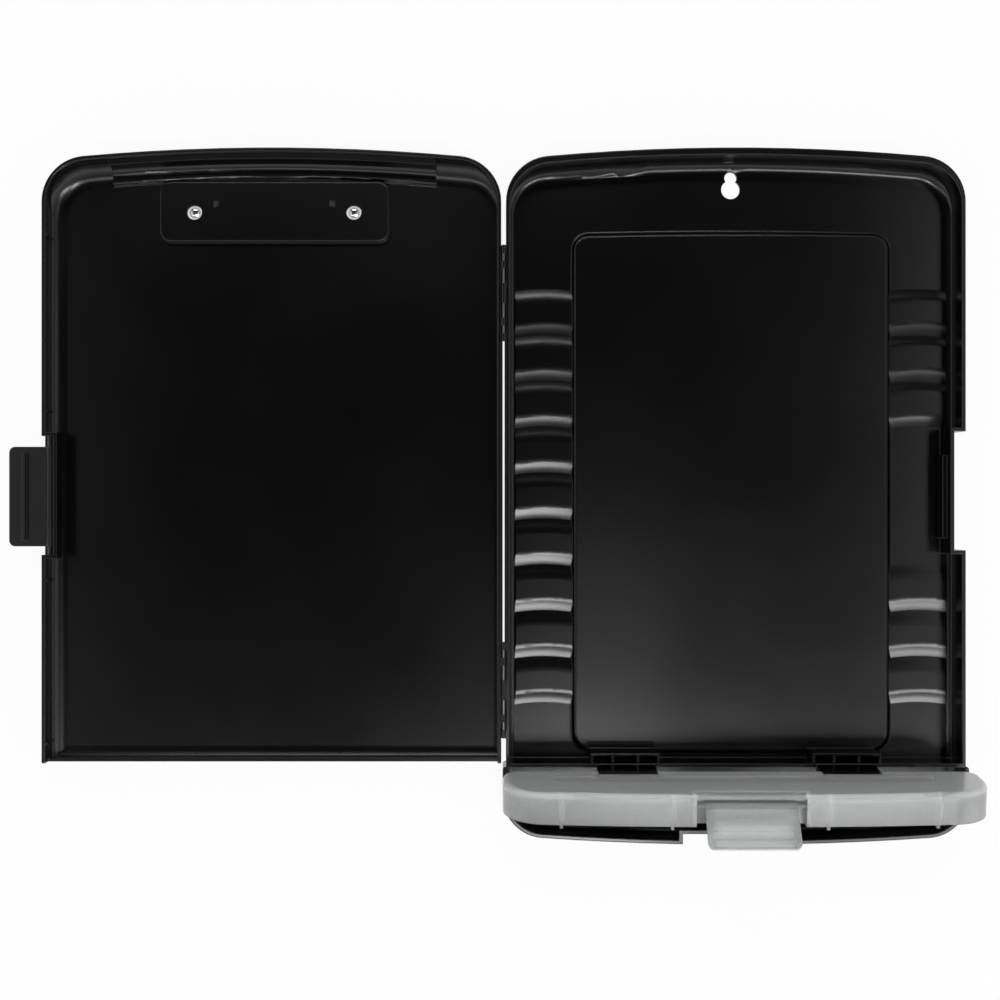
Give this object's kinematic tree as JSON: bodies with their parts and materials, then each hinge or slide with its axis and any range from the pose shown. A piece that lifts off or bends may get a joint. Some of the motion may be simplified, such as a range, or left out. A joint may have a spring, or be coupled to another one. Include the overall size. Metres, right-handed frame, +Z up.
{
  "type": "storage clipboard box",
  "caption": "Storage clipboard box: shallow tray with a hinged clipboard lid, a flap latch, and a supply compartment under its own clear latched door.",
  "frame": {"origin": "on the underside plane of the tray, midway across it and level with the middle of its paper room", "axes": "+Z up out of the open tray, +Y towards the tray's upper end, +X away from the lid hinge, with the lid open flat on the -X side"},
  "size_m": [0.5042, 0.3654, 0.0806],
  "materials": {
    "black_shell": "glossy injection-moulded black",
    "black_latch": "semi-gloss injection-moulded black",
    "clear_door": "frosted translucent polypropylene",
    "clip_steel": "nickel-plated steel",
    "pin_steel": "dark oiled spring wire"
  },
  "bodies": {
    "tray": {"base_tray": "black_shell", "hinge_pin_upper": "pin_steel", "hinge_pin_lower": "pin_steel"},
    "lid": {"lid": "black_shell", "clip_base_plate": "clip_steel", "clip_pivot_pin": "clip_steel", "clip_spring": "pin_steel", "clip_rivet_left": "clip_steel", "clip_rivet_right": "clip_steel"},
    "clip": {"clip_lever": "clip_steel"},
    "lid_latch": {"lid_latch": "black_latch"},
    "door": {"supply_door": "clear_door"},
    "door_latch": {"door_latch": "clear_door"}
  },
  "joints": [
    {"name": "lid_hinge", "type": "hinge", "parent": "tray", "child": "lid", "pos_m": [-0.1218, 0.0016, 0.02057], "axis": [0, 1, 0], "range_deg": [0, 180]},
    {"name": "lid_latch_hinge", "type": "hinge", "parent": "lid", "child": "lid_latch", "pos_m": [-0.36035, -0.001, 0.01775], "axis": [0, 1, 0], "range_deg": [-15, 90]},
    {"name": "door_hinge", "type": "hinge", "parent": "tray", "child": "door", "pos_m": [0, -0.1465, 0.03325], "axis": [1, 0, 0], "range_deg": [-27, 83]},
    {"name": "door_latch_hinge", "type": "hinge", "parent": "door", "child": "door_latch", "pos_m": [0, -0.15361, 0.06653], "axis": [1, 0, 0], "range_deg": [-60, 41]},
    {"name": "clip_hinge", "type": "hinge", "parent": "lid", "child": "clip", "pos_m": [-0.2436, 0.1505, 0.0047], "axis": [1, 0, 0], "range_deg": [0, 18], "stiffness_Nm_per_rad": 0.35, "springref_deg": -28.65, "deforming": ["clip_spring"]}
  ]
}
